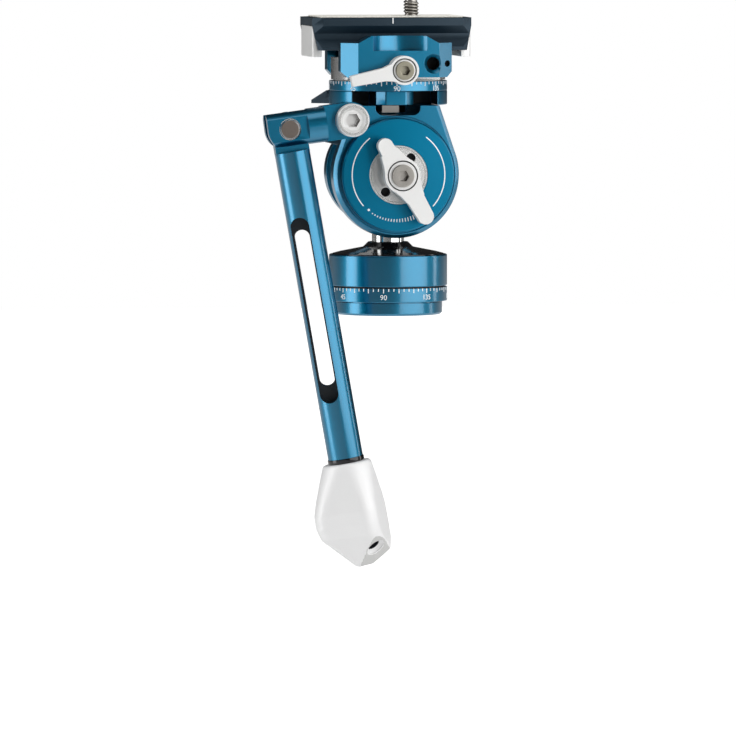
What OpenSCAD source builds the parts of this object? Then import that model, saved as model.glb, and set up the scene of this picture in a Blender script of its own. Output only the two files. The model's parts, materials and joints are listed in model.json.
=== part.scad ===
// Hybrid tripod head: a ball held in a tilting housing between two panning stages,
// with a lever clamp, a sliding plate and a folding handle.
// Frame: +Z up on the base axis, the lock dial faces -Y, the plate runs along X,
// and the origin is the mouth of the tripod socket.

/* [Base] */
// radius of the pan ring and both scale rings
ring_r = 24; // [20:0.5:30]
// radius of the flange that stands on the tripod
flange_r = 22; // [16:0.5:28]
// height of the flange
flange_h = 5; // [3:0.1:8]
// top of the base scale ring
scale_top = 11.2; // [9:0.1:14]
// top of the pan ring
pan_top = 24.4; // [20:0.1:30]
// radius of the fixed hub that the pan ring turns on
hub_r = 12; // [10:0.5:14]
// core radius of the 3/8-16 socket
socket_r = 4; // [3.9:0.05:4.8]
// depth of the socket
socket_depth = 11; // [8:0.5:12]

/* [Ball and housing] */
// height of the ball and tilt axis
tilt_z = 57.3; // [50:0.1:65]
// radius of the ball
ball_r = 15; // [12:0.5:17]
// radius of the ball's stem
stem_r = 6.5; // [5:0.1:8]
// radius of the drum that carries the ball
drum_r = 21; // [18:0.5:22]
// radius of the housing's round front
house_r = 25.8; // [24:0.1:28]
// front face of the housing
front_y = -21; // [-24:0.5:-18]
// flat top of the housing
house_top = 85.2; // [80:0.1:90]
// half width of the flat top
top_half = 17.9; // [14:0.1:22]
// bevel round the front face
house_bevel = 1.5; // [0.5:0.1:2.5]
// radius of the lock dial
dial_r = 23; // [20:0.1:24]
// radius of the dial's silver hub
dial_hub_r = 12; // [8:0.1:15]
// radius of the rear dial
rear_dial_r = 21.8; // [18:0.1:24]
// lean of the ball lock lever from upright
lock_lean = 30; // [0:1:60]

/* [Turntable and clamp] */
// top of the turntable base
table_top = 91; // [88:0.1:94]
// top of the turntable's scale ring
top_scale_top = 95; // [92:0.1:98]
// radius of the clamp body
clamp_r = 23.2; // [20:0.1:26]
// half width of the jaws
jaw_half = 22.8; // [18:0.1:26]
// outer face of the jaws, from the middle
jaw_out = 26; // [22:0.1:28]
// bottom of the jaws
jaw_z = 96.7; // [95:0.1:100]
// top of the jaws in the middle
jaw_top = 113.5; // [110:0.1:116]
// top of the jaws at the ends
jaw_low = 110.6; // [108:0.1:113]
// corner bevel of the jaws
jaw_bevel = 6.2; // [2:0.1:8]
// length of the clamp lever from its pivot
clamp_arm = 22; // [15:0.5:30]

/* [Plate] */
// half length of the plate
plate_half = 32.7; // [28:0.1:40]
// half width of the plate
plate_w = 19; // [17:0.1:21]
// bottom of the plate
plate_z = 107.5; // [106:0.1:110]
// top of the plate under its pad
plate_top = 120.7; // [116:0.1:124]
// thickness of the pad
pad_t = 0.6; // [0.3:0.1:2]
// place of the plate in its clamp
plate_x = -1; // [-4:0.1:4]
// cut corners of the plate
plate_cut = 4; // [1:0.1:6]
// half depth of the end jaws
end_half = 14.2; // [8:0.1:14.5]
// place of the camera screw, sideways from the base axis
screw_x = 9.5; // [-10:0.5:9.5]
// height of the screw above the pad
screw_h = 6.3; // [4:0.1:8]

/* [Handle] */
// handle bolt, sideways from the base axis
bolt_x = -20.4; // [-26:0.1:-16]
// handle bolt, height
bolt_z = 79.8; // [76:0.1:86]
// depth of the handle's middle plane
arm_y = -32; // [-36:0.5:-30]
// radius of the arm
arm_r = 7.2; // [6:0.1:9]
// bolt to fold pin
arm_len = 26.1; // [20:0.1:35]
// droop of the arm below level
arm_droop = 7.6; // [0:0.5:30]
// radius of the rod
rod_r = 7.1; // [6:0.1:9]
// lean of the hanging rod from upright
rod_lean = 10; // [0:0.5:20]
// fold pin to the grip
rod_len = 136.7; // [100:0.1:160]
// length of the grip
grip_len = 42.6; // [30:0.1:55]
// core radius of the 1/4-20 holes
quarter_r = 2.6; // [2.5:0.05:3.2]

/* [Hidden] */
$fn = 96;
run = 0.05;
blue = [0.05, 0.43, 0.62];
navy = [0.1, 0.13, 0.19];
silver = [0.85, 0.86, 0.88];
steel = [0.6, 0.6, 0.62];
black = [0.07, 0.07, 0.08];
brass = [0.75, 0.6, 0.3];
nylon = [0.9, 0.9, 0.86];
pan_z0 = scale_top + 0.55;
ledge_z = 17.3;
foot_z = 20.8;
pan_lock_z = 14.5;
in_y = front_y + 7.7;
drum_f = -13;
drum_b = 17;
rear_y0 = 18.3;
rear_y1 = 23.3;
trunnion_r = 9;
flank = 18.5;
dial_y = front_y - 4.3;
lever_y = dial_y - 10.2;
rear_dial_y = rear_y1 + 5.7;
table_lock_dir = 143.1;
table_lock_z = 88;
clamp_y = 13.4;
clamp_z0 = top_scale_top + 0.45;
clamp_top = 104.5;
clamp_x = 1.2;
clamp_lever_z = 99.7;
waist = 15.8;
pad_top = plate_top + pad_t;
end_x = plate_half - 4.1;
rod_y = 11.5;
rod_z = 113.2;
pin_x = bolt_x - arm_len * cos(arm_droop);
pin_z = bolt_z - arm_len * sin(arm_droop);
shoulder = 9.1;
grip_face_tilt = 43;
grip_face_turn = -29;

// round bar along Y
module ybar(r, y0, y1, x = 0, z = 0) {
  translate([x, y0, z]) rotate([-90, 0, 0]) cylinder(r = r, h = y1 - y0);
}

// tapered round bar along Y
module ycone(ra, rb, y0, y1, x = 0, z = 0) {
  translate([x, y0, z]) rotate([-90, 0, 0]) cylinder(r1 = ra, r2 = rb, h = y1 - y0);
}

// round bar along X
module xbar(r, x0, x1, y = 0, z = 0) {
  translate([x0, y, z]) rotate([0, 90, 0]) cylinder(r = r, h = x1 - x0);
}

// round bar along Z
module zbar(r, z0, z1, x = 0, y = 0) {
  translate([x, y, z0]) cylinder(r = r, h = z1 - z0);
}

// box between two corners
module box(a, b) {
  translate(a) cube(b - a);
}

// outline in X and Z, drawn out along Y
module front_prism(points, y0, y1) {
  translate([0, y1, 0]) rotate([90, 0, 0]) linear_extrude(height = y1 - y0) polygon(points);
}

// outline in Y and Z, drawn out along X
module side_prism(points, x0, x1) {
  translate([x0, 0, 0]) rotate([90, 0, 90]) linear_extrude(height = x1 - x0) polygon(points);
}

// flat ring along Z
module washer(ro, ri, z0, z1) {
  difference() {
    zbar(ro, z0, z1);
    zbar(ri, z0 - 1, z1 + 1);
  }
}

// corners of the straight part of a bar that tapers between two round ends
function taper(ra, b, rb) =
  let (d = norm(b), t = atan2(b[1], b[0]), e = acos((ra - rb) / d), k = 0.04)
  [
    (ra - k) * [cos(t + e), sin(t + e)],
    b + (rb - k) * [cos(t + e), sin(t + e)],
    b + (rb - k) * [cos(t - e), sin(t - e)],
    (ra - k) * [cos(t - e), sin(t - e)]
  ];

// one arm of a lever, from the pivot to a round end
module lever_arm(ra, b, rb, y0, y1) {
  front_prism(taper(ra, b, rb), y0, y1);
  ybar(rb, y0, y1, b[0], b[1]);
}

// flare where a slim arm leaves its round boss
module flare(boss, b, arm, reach, y0, y1) {
  u = b / norm(b);
  v = [-u[1], u[0]];
  front_prism([
    boss * 0.52 * u + boss * 0.84 * v, boss * 0.92 * u + (arm + 1.1) * v, reach * u + arm * v,
    reach * u - arm * v, boss * 0.92 * u - (arm + 1.1) * v, boss * 0.52 * u - boss * 0.84 * v
  ], y0, y1);
}

// frames of the handle
module at_arm() {
  translate([bolt_x, arm_y, bolt_z]) rotate([0, 180 - arm_droop, 0]) children();
}

module at_rod() {
  translate([pin_x, arm_y, pin_z]) rotate([0, 180 - rod_lean, 0]) children();
}

// BASE

module base_flange() color(blue) difference() {
  union() {
    zbar(flange_r, 0.8, flange_h);
    cylinder(r1 = flange_r - 0.8, r2 = flange_r, h = 0.8);
    zbar(18, flange_h, scale_top);
    zbar(hub_r, scale_top, ledge_z + 0.55);
  }
  zbar(7, -1, 12);
  for (a = [45:90:315]) rotate(a) zbar(1.5, 10, 20, 9.2);
}

module base_scale_ring() color(blue) difference() {
  union() {
    zbar(ring_r, flange_h + 0.5, scale_top);
    zbar(20.5, flange_h, flange_h + 0.5);
  }
  zbar(18, 0, 20);
}

module socket_bush() color(steel) difference() {
  zbar(7, 0, 12);
  zbar(socket_r, -1, socket_depth);
}

module pan_bearing_washer() color(nylon) washer(22.6, hub_r + 0.3, scale_top, scale_top + 0.5);

module pan_thrust_washer() color(nylon) washer(15.2, hub_r + 0.3, ledge_z + 0.05, ledge_z + 0.55);

module pan_retainer() color(steel) difference() {
  zbar(15.2, ledge_z + 0.55, 20.4);
  for (a = [45:90:315]) rotate(a) {
    zbar(1.5, 10, 20, 9.2);
    zbar(2.6, 19, 21, 9.2);
  }
}

module retainer_screws() color(steel) for (a = [45:90:315]) rotate(a) difference() {
  union() {
    zbar(1.5, 10, 19, 9.2);
    zbar(2.6, 19, 20.4, 9.2);
  }
  translate([9.2, 0, 19.4]) cylinder(r = 1.2, h = 2, $fn = 6);
}

module pan_ring() color(blue) difference() {
  union() {
    zbar(ring_r, pan_z0, pan_top - 0.5);
    translate([0, 0, pan_top - 0.5]) cylinder(r1 = ring_r, r2 = ring_r - 0.5, h = 0.5);
  }
  zbar(hub_r + run, 0, 20);
  zbar(15.6, ledge_z, 30);
  ybar(2.2, 10, 13.4, 0, pan_lock_z);
  ybar(2.2 + run, 13.4, 30, 0, pan_lock_z);
}

module collar_cap() color(black) rotate_extrude() polygon([
  [stem_r, pan_top], [22.6, pan_top], [22.6, pan_top + 0.3], [19.5, pan_top + 1.1],
  [10.3, pan_top + 2.9], [9.9, pan_top + 3.2], [8.1, pan_top + 5], [stem_r, pan_top + 5]
]);

module ball_stem() color(silver) union() {
  translate([0, 0, tilt_z]) sphere(r = ball_r);
  zbar(stem_r, foot_z, tilt_z);
  zbar(15.6, foot_z, pan_top);
}

module pan_brake_shoe() color(brass) ybar(2.2, hub_r + 0.1, 13.4, 0, pan_lock_z);

module pan_lock_lever() color(silver) difference() {
  union() {
    ybar(4.6, ring_r + 0.6, ring_r + 6.4, 0, pan_lock_z);
    translate([0, 0, pan_lock_z]) lever_arm(4.6, [16, 0], 2.2, ring_r + 3, ring_r + 6.4);
  }
  ybar(2.2, 10, 40, 0, pan_lock_z);
}

module pan_lock_screw() color(steel) difference() {
  union() {
    ybar(2.2, 13.6, ring_r + 6.4, 0, pan_lock_z);
    ybar(3.2, ring_r + 6.4, ring_r + 8.2, 0, pan_lock_z);
  }
  translate([0, ring_r + 9, pan_lock_z]) rotate([90, 0, 0]) cylinder(r = 1.5, h = 2, $fn = 6);
}

// BALL CARRIER

module drum_half(y0, y1) difference() {
  ybar(drum_r, y0, y1, 0, tilt_z);
  translate([0, 0, tilt_z]) sphere(r = ball_r + 0.15);
  side_prism([[-7, tilt_z], [7, tilt_z], [12, tilt_z - 26], [-12, tilt_z - 26]], -7, 7);
  translate([0, 0, tilt_z]) for (a = [45:90:315]) rotate([0, a, 0]) {
    ybar(1.25, -10, 14.5, 0, 18);
    ybar(2.2, 14.5, 20, 0, 18);
  }
}

module front_cup() color(black) difference() {
  union() {
    drum_half(drum_f, -0.1);
    difference() {
      ybar(trunnion_r, drum_f - 5.5, drum_f, 0, tilt_z);
      translate([0, 0, tilt_z]) sphere(r = ball_r + 0.15);
    }
  }
  ybar(4, -30, -10, 0, tilt_z);
}

module rear_cup() color(black) difference() {
  union() {
    drum_half(0, drum_b);
    ybar(trunnion_r, drum_b, rear_y1 - 0.7, 0, tilt_z);
  }
  ybar(3 + run, drum_b + 0.3, 40, 0, tilt_z);
}

module cup_screws() color(steel) translate([0, 0, tilt_z]) for (a = [45:90:315]) rotate([0, a, 0]) {
  ybar(1.25, -10, 14.5, 0, 18);
  ybar(2.2, 14.5, 16.8, 0, 18);
}

module lock_plunger() color(brass) difference() {
  ybar(4, drum_f - 5.3, -14, 0, tilt_z);
  translate([0, 0, tilt_z]) sphere(r = ball_r + 0.15);
}

module drag_washer() color(nylon) difference() {
  ybar(20.5, drum_b, drum_b + 1.2, 0, tilt_z);
  ybar(trunnion_r, 10, 30, 0, tilt_z);
}

// HOUSING

// outline of the housing above its round part, drawn in by a bevel
function flank_outline(b) = let (
    r = house_r - 0.04 - b,
    h = house_top - tilt_z,
    z = r * sin(flank),
    x = r * cos(flank),
    w = x - (h - z) * tan(flank)
  ) [[-x, z], [x, z], [w, h], [-w, h]];

module housing() color(blue) difference() {
  union() {
    translate([0, 0, tilt_z]) {
      ybar(house_r, front_y + house_bevel, in_y);
      ycone(house_r - house_bevel, house_r, front_y, front_y + house_bevel);
      front_prism(flank_outline(0), front_y + house_bevel, in_y);
      hull() {
        front_prism(flank_outline(house_bevel), front_y, front_y + 0.1);
        front_prism(flank_outline(0), front_y + house_bevel, front_y + house_bevel + 0.1);
      }
      difference() {
        front_prism(flank_outline(0), in_y, rear_y0);
        ybar(drum_r + 0.4, -40, 40);
        box([-40, -40, 0], [40, 40, 12]);
      }
    }
    ybar(arm_r, arm_y + arm_r + 0.2, front_y + 1, bolt_x, bolt_z);
    intersection() {
      ybar(arm_r, front_y, in_y, bolt_x, bolt_z);
      box([-60, -40, 60], [0, 0, house_top]);
    }
  }
  // groove round the dial
  difference() {
    ybar(dial_r + 0.8, front_y - 1, front_y + 0.9, 0, tilt_z);
    ybar(dial_r, front_y - 2, front_y + 2, 0, tilt_z);
  }
  ybar(trunnion_r + run, drum_f - 5.8, in_y + 1, 0, tilt_z);
  ybar(3 + run, -30, 0, 0, tilt_z);
  ybar(3.5, -40, in_y - 1, bolt_x, bolt_z);
  // pocket for the spindle nut, open at the front
  box([-5.7, -30, 81.3], [6.7, 8.4, 90]);
  box([-8.7, -30, 84.3], [9.7, 8.4, 90]);
  ybar(3, -30, 8.4, -5.7, 84.3);
  ybar(3, -30, 8.4, 6.7, 84.3);
  for (x = [-13, 13]) ybar(1.6, rear_y0 - 9, 40, x, tilt_z + 24);
}

module rear_plate() color(blue) difference() {
  union() {
    ybar(rear_dial_r + 0.6, rear_y0, rear_y1, 0, tilt_z);
    translate([0, 0, tilt_z]) front_prism([[-19, 10], [19, 10], [17.5, 27.6], [-17.5, 27.6]], rear_y0, rear_y1);
  }
  ybar(trunnion_r + run, 10, 40, 0, tilt_z);
  for (x = [-13, 13]) {
    ybar(1.6, 10, 40, x, tilt_z + 24);
    ybar(2.9, rear_y1 - 1.7, 40, x, tilt_z + 24);
  }
}

module rear_plate_screws() color(steel) for (x = [-13, 13]) difference() {
  union() {
    ybar(1.6, rear_y0 - 9, rear_y1 - 1.7, x, tilt_z + 24);
    ybar(2.9, rear_y1 - 1.7, rear_y1, x, tilt_z + 24);
  }
  translate([x, rear_y1 + 1, tilt_z + 24]) rotate([90, 0, 0]) cylinder(r = 1.4, h = 2, $fn = 6);
}

module lock_dial() color(blue) difference() {
  union() {
    ybar(dial_r, dial_y + 0.5, front_y, 0, tilt_z);
    ycone(dial_r - 0.5, dial_r, dial_y, dial_y + 0.5, 0, tilt_z);
  }
  ybar(dial_hub_r, -40, 0, 0, tilt_z);
}

module dial_hub() color(silver) difference() {
  ybar(dial_hub_r, dial_y + 0.3, front_y, 0, tilt_z);
  ybar(dial_hub_r - 0.9, dial_y - 1, dial_y + 0.9, 0, tilt_z);
  ybar(3 + run, -40, 0, 0, tilt_z);
  for (a = [53, 233]) ybar(1.8, dial_y - 1, front_y - 0.6, 8.6 * cos(a), tilt_z + 8.6 * sin(a));
}

module rear_dial() color(blue) difference() {
  union() {
    ybar(rear_dial_r, rear_y1, rear_dial_y - 0.8, 0, tilt_z);
    ycone(rear_dial_r, rear_dial_r - 0.8, rear_dial_y - 0.8, rear_dial_y, 0, tilt_z);
  }
  ybar(3 + run, 0, 60, 0, tilt_z);
}

module handle_bolt() color(silver) difference() {
  union() {
    ybar(3.5, arm_y - 0.2, in_y - 1, bolt_x, bolt_z);
    ybar(6.7, arm_y - 4, arm_y - 0.2, bolt_x, bolt_z);
    ycone(6.1, 6.7, arm_y - 4.7, arm_y - 4, bolt_x, bolt_z);
  }
  ycone(5.4, 4, arm_y - 5, arm_y - 3.4, bolt_x, bolt_z);
  translate([bolt_x, arm_y - 0.8, bolt_z]) rotate([90, 0, 0]) cylinder(r = 3, h = 6, $fn = 6);
}

module ball_lock_lever() color(silver) difference() {
  lean = [sin(lock_lean), -cos(lock_lean)];
  translate([0, 0, tilt_z]) union() {
    ybar(6.1, lever_y + 4.6, dial_y + 0.7);
    ybar(7.3, lever_y, lever_y + 4.8);
    lever_arm(4.2, 18.9 * lean, 3.3, lever_y, lever_y + 4.8);
    lever_arm(4, -13.9 * lean, 3.1, lever_y, lever_y + 4.8);
    for (s = [1, -1]) flare(7.3, s * lean, 3.8, 11, lever_y, lever_y + 4.8);
  }
  ybar(3, -60, 0, 0, tilt_z);
  difference() {
    ybar(6.2, lever_y - 1, lever_y + 1.6, 0, tilt_z);
    ybar(5.7, lever_y - 2, lever_y + 2, 0, tilt_z);
  }
}

module ball_lock_screw() color(steel) difference() {
  union() {
    ybar(3, lever_y, drum_f - 5.6, 0, tilt_z);
    ybar(4.6, lever_y - 1.2, lever_y, 0, tilt_z);
  }
  translate([0, lever_y + 1.5, tilt_z]) rotate([90, 0, 0]) cylinder(r = 2.3, h = 6, $fn = 6);
}

module tilt_lock_lever() color(silver) difference() {
  lean = [sin(40), -cos(40)];
  translate([0, 0, tilt_z]) union() {
    ybar(6.1, rear_dial_y + 0.3, rear_dial_y + 4);
    ybar(7.3, rear_dial_y + 3.8, rear_dial_y + 8.4);
    lever_arm(4.2, 16.5 * lean, 3.2, rear_dial_y + 3.8, rear_dial_y + 8.4);
    flare(7.3, lean, 3.8, 11, rear_dial_y + 3.8, rear_dial_y + 8.4);
  }
  ybar(3, 0, 60, 0, tilt_z);
}

module tilt_lock_screw() color(steel) difference() {
  union() {
    ybar(3, drum_b + 0.8, rear_dial_y + 8.4, 0, tilt_z);
    ybar(4.6, rear_dial_y + 8.4, rear_dial_y + 9.6, 0, tilt_z);
  }
  translate([0, rear_dial_y + 10, tilt_z]) rotate([90, 0, 0]) cylinder(r = 2.3, h = 3, $fn = 6);
}

// TURNTABLE

module turntable_base() color(blue) difference() {
  union() {
    difference() {
      zbar(ring_r, house_top, table_top);
      box([-17.5, -40, 80], [17.5, -1, 100]);
    }
    // neck in the middle of the window, with its front corners cut
    translate([0, 0, house_top]) linear_extrude(height = table_top - house_top) polygon([
      [-7.8, 2], [-7.8, -15.8], [-4.2, -19.4], [4.2, -19.4], [7.8, -15.8], [7.8, 2]
    ]);
  }
  zbar(5 + run, 80, 100);
  rotate(table_lock_dir) {
    xbar(2, 2, 8.4, 0, table_lock_z);
    xbar(2 + run, 8.4, 30, 0, table_lock_z);
  }
}

module top_scale_ring() color(blue) washer(ring_r, 12, table_top, top_scale_top);

module top_pan_washer() color(nylon) washer(21.5, 12.5, top_scale_top, top_scale_top + 0.4);

module top_pan_shoe() color(brass) rotate(table_lock_dir) xbar(2, 5.2, 8.4, 0, table_lock_z);

module top_pan_lock() color(blue) rotate(table_lock_dir) translate([0, 0, table_lock_z]) {
  xbar(2, 8.6, 25);
  xbar(2.8, ring_r + 0.5, ring_r + 3);
  front_prism([[24.7, -2.8], [34.4, -2.8], [34.4, -1.4], [27.5, 2.6], [24.7, 2.6]], -1.6, 1.6);
}

// CLAMP

module clamp_body() color(silver) difference() {
  union() {
    intersection() {
      zbar(clamp_r, clamp_z0, clamp_top);
      box([-30, -clamp_y, 90], [30, clamp_y, 110]);
    }
    zbar(11.5, table_top + 0.3, clamp_z0);
    zbar(5, 82, table_top + 0.3);
  }
  ybar(3 + run, -30, -4, clamp_x, clamp_lever_z);
  for (x = [-8.6, 8.6]) ybar(1.6, -30, -6, x, 100);
  for (x = [-12, 12]) ybar(2, 4, 30, x, 100.5);
}

module spindle_nut() color(steel) difference() {
  translate([0, 0, 82]) cylinder(r = 7, h = 2.9, $fn = 6);
  zbar(5, 80, 90);
}

// one jaw, drawn at -Y: the lip holds the plate's flared edge
module jaw_block(inner) intersection() {
  side_prism([
    [-inner, jaw_z], [-inner, plate_z - 0.15], [-plate_w - 0.25, plate_z - 0.15],
    [-plate_w - 0.25, plate_z + 1.6], [-waist - 0.35, plate_z + 4.7], [-waist - 0.35, jaw_top - 0.5],
    [-waist - 0.85, jaw_top], [-jaw_out, jaw_top], [-jaw_out, jaw_z]
  ], -jaw_half, jaw_half);
  translate([0, 0, 90]) linear_extrude(height = 40) polygon([
    [-jaw_half, 0], [-jaw_half, jaw_bevel - jaw_out], [jaw_bevel - jaw_half, -jaw_out],
    [jaw_half - jaw_bevel, -jaw_out], [jaw_half, jaw_bevel - jaw_out], [jaw_half, 0]
  ]);
  front_prism([
    [-jaw_half, jaw_z + 2.3], [-jaw_half, jaw_low], [-16.5, jaw_low], [-11.2, jaw_top],
    [11.2, jaw_top], [16.5, jaw_low], [jaw_half, jaw_low], [jaw_half, jaw_z + 2.3],
    [jaw_half - 2.3, jaw_z], [2.3 - jaw_half, jaw_z]
  ], -40, 0);
}

module rear_jaw() color(blue) difference() {
  mirror([0, 1, 0]) jaw_block(clamp_y);
  for (x = [-12, 12]) {
    ybar(2, 0, 40, x, 100.5);
    ybar(3.6, 22, 40, x, 100.5);
  }
}

module rear_jaw_screws() color(steel) for (x = [-12, 12]) difference() {
  union() {
    ybar(2, 4, 22, x, 100.5);
    ybar(3.6, 22, jaw_out - 0.4, x, 100.5);
  }
  translate([x, jaw_out + 1, 100.5]) rotate([90, 0, 0]) cylinder(r = 1.9, h = 3, $fn = 6);
}

module guide_pins() color(steel) for (x = [-8.6, 8.6]) ybar(1.6, -20, -6, x, 100);

module front_jaw() color(blue) difference() {
  jaw_block(clamp_y + 0.6);
  // scoop in the upper front
  zbar(14.8, plate_z, 130, 0.6, -jaw_out - 9.8);
  ybar(3 + run, -40, 0, clamp_x, clamp_lever_z);
  for (x = [-8.6, 8.6]) ybar(1.6 + run, -21, 0, x, 100);
  // accessory thread with its countersink, and the hole that stops an accessory turning
  ybar(quarter_r, -40, -jaw_out + 9.4, 14.3, 102.2);
  ycone(4.1, quarter_r, -jaw_out - 0.1, -jaw_out + 1.4, 14.3, 102.2);
  ybar(1.3, -40, -jaw_out + 8, 20.6, 102.2);
}

module clamp_lever() color(silver) difference() {
  union() {
    ybar(5.9, -jaw_out - 7, -jaw_out - 0.2, clamp_x, clamp_lever_z);
    translate([clamp_x, 0, clamp_lever_z]) rotate([0, 180 - 11.4, 0]) front_prism([
      [0, -4.8], [8.5, -2.7], [clamp_arm, -2.2], [clamp_arm, 2.2], [8.5, 2.7], [0, 4.8]
    ], -jaw_out - 7, -jaw_out - 2.6);
  }
  ybar(3, -60, 0, clamp_x, clamp_lever_z);
  difference() {
    ybar(4.9, -jaw_out - 9, -jaw_out - 6.3, clamp_x, clamp_lever_z);
    ybar(4.4, -jaw_out - 9, -jaw_out, clamp_x, clamp_lever_z);
  }
}

module clamp_screw() color(steel) difference() {
  union() {
    ybar(3, -jaw_out - 7, -4.4, clamp_x, clamp_lever_z);
    ybar(3.8, -jaw_out - 8, -jaw_out - 7, clamp_x, clamp_lever_z);
  }
  translate([clamp_x, -jaw_out - 5, clamp_lever_z]) rotate([90, 0, 0]) cylinder(r = 2, h = 6, $fn = 6);
}

// PLATE

// round ended slot along X
module slot(r, half, z0, z1) {
  box([-half, -r, z0], [half, r, z1]);
  for (x = [-half, half]) zbar(r, z0, z1, x);
}

module at_plate() {
  translate([plate_x, 0, 0]) children();
}

// the plate seen from above, with its corners cut
module plate_plan(z0, z1) {
  translate([0, 0, z0]) linear_extrude(height = z1 - z0) polygon([
    for (s = [[-1, -1], [1, -1], [1, 1], [-1, 1]], k = [0, 1])
      let (c = (s[0] * s[1] > 0) ? k : 1 - k)
      [s[0] * (plate_half - plate_cut * c), s[1] * (plate_w - plate_cut * (1 - c))]
  ]);
}

module plate() color(navy) at_plate() difference() {
  union() {
    intersection() {
      side_prism([
        [-plate_w, plate_z], [plate_w, plate_z], [plate_w, plate_z + 1.5], [waist, plate_z + 4.7],
        [waist, plate_top - 6.4], [plate_w, plate_top - 3.2], [plate_w, plate_top], [-plate_w, plate_top],
        [-plate_w, plate_top - 3.2], [-waist, plate_top - 6.4], [-waist, plate_z + 4.7],
        [-plate_w, plate_z + 1.5]
      ], -plate_half, plate_half);
      plate_plan(plate_z - 1, plate_top + 1);
      front_prism([
        [2.2 - plate_half, plate_z], [plate_half - 2.2, plate_z], [plate_half, plate_top - 3.2],
        [plate_half, plate_top], [-plate_half, plate_top], [-plate_half, plate_top - 3.2]
      ], -30, 30);
    }
    plate_plan(plate_top - 3.2, plate_top);
  }
  slot(3.35, 11, 100, 130);
  slot(8.2, 11, 100, plate_z + 4.9);
  // seats of the end jaws
  for (x = [-60, end_x - 0.2]) box([x, -end_half - 0.3, 100], [x + 60.2 - end_x, end_half + 0.3, plate_top - 3.2]);
  for (x = [-end_x - 1, 6], y = [-rod_y, rod_y]) xbar(1.5 + run, x, x + end_x - 5, y, rod_z);
}

module plate_pad() color([0.8, 0.8, 0.78]) at_plate() difference() {
  box([-29.3, -15.5, plate_top], [29.3, 15.5, pad_top]);
  slot(4, 11, 100, 130);
}

// end jaw at +X, mirrored for the other end
module end_jaw() difference() {
  translate([0, 0, 104.8]) linear_extrude(height = plate_top - 3.4 - 104.8) polygon([
    [end_x, -end_half], [plate_half - 1.8, -end_half], [plate_half - 0.5, 0.6 - end_half],
    [plate_half, 1.9 - end_half], [plate_half, end_half - 1.9], [plate_half - 0.5, end_half - 0.6],
    [plate_half - 1.8, end_half], [end_x, end_half]
  ]);
  for (y = [-rod_y, rod_y]) xbar(1.5, 0, end_x + 2.4, y, rod_z);
}

module end_rods() for (y = [-rod_y, rod_y]) xbar(1.5, 8, end_x + 2.4, y, rod_z);

module end_jaw_right() color(silver) at_plate() end_jaw();

module end_jaw_left() color(silver) at_plate() mirror([1, 0, 0]) end_jaw();

module end_rods_right() color(steel) at_plate() end_rods();

module end_rods_left() color(steel) at_plate() mirror([1, 0, 0]) end_rods();

module screw_washer() color(steel) translate([screw_x, 0, 0]) washer(7.6, 3 + run, plate_z + 4, plate_z + 4.7);

module camera_screw() color(steel) translate([screw_x, 0, 0]) difference() {
  union() {
    zbar(7, plate_z + 0.6, plate_z + 3.8);
    zbar(3, plate_z + 3.8, pad_top + 0.2);
    zbar(3.175, pad_top + 0.2, pad_top + screw_h - 0.5);
    translate([0, 0, pad_top + screw_h - 0.5]) cylinder(r1 = 3.175, r2 = 2.6, h = 0.5);
  }
  box([-10, -0.8, 100], [10, 0.8, plate_z + 1.9]);
}

// HANDLE

module handle_arm() color(blue) at_arm() difference() {
  union() {
    ybar(arm_r, 0, arm_r);
    box([0, 0, -arm_r], [11.5, arm_r, arm_r]);
    xbar(arm_r, 11, 18.6);
    intersection() {
      xbar(arm_r, 18, arm_len + shoulder - 0.2);
      box([18, -5.5, -20], [60, 5.5, 20]);
      union() {
        box([18, -9, -9], [arm_len, 9, 9]);
        ybar(shoulder - 0.2, -9, 9, arm_len);
        box([18, -9, -9], [arm_len + shoulder - 0.2, 9, 0]);
      }
    }
  }
  box([18.2, -2.5, -20], [60, 2.5, 20]);
  ybar(3.5 + run, -20, 20);
  ybar(2.5, -5, 5, arm_len);
  ybar(4.4, -20, -4.4, arm_len);
}

module fold_pin() color(steel) at_arm() union() {
  ybar(2.5, -4.4, 5, arm_len);
  ybar(3.9, -5.3, -4.4, arm_len);
}

module handle_rod() color(blue) at_rod() difference() {
  union() {
    ybar(6.9, -2.4, 2.4);
    box([-6.9, -2.4, 0], [6.9, 2.4, shoulder + 1]);
    zbar(rod_r, shoulder, rod_len - 2);
    zbar(5, rod_len - 3, rod_len + 12);
  }
  ybar(2.5 + run, -20, 20);
  // long slot, wider and longer in front
  rotate(11) translate([1.9, 0, 0]) {
    box([-3.1, -20, 44], [3.1, 20, 102.1]);
    for (z = [44, 102.1]) ybar(3.1, -20, 20, 0, z);
    box([-3.8, -20, 39.4], [3.8, -1.5, 107.8]);
    for (z = [39.4, 107.8]) ybar(3.8, -20, -1.5, 0, z);
  }
}

module rod_ring() color(black) at_rod() difference() {
  zbar(rod_r + 0.3, rod_len - 2, rod_len);
  zbar(5, 0, 200);
}

// one level of the grip: four round corners about a middle that leaves the rod's axis
module grip_level(z, x, corner, r) {
  for (k = [0:3]) translate([x, 0, z]) rotate(k * 90 - 22.5) translate([corner, 0, 0])
    cylinder(r = r, h = 0.2, $fn = 24);
}

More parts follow.
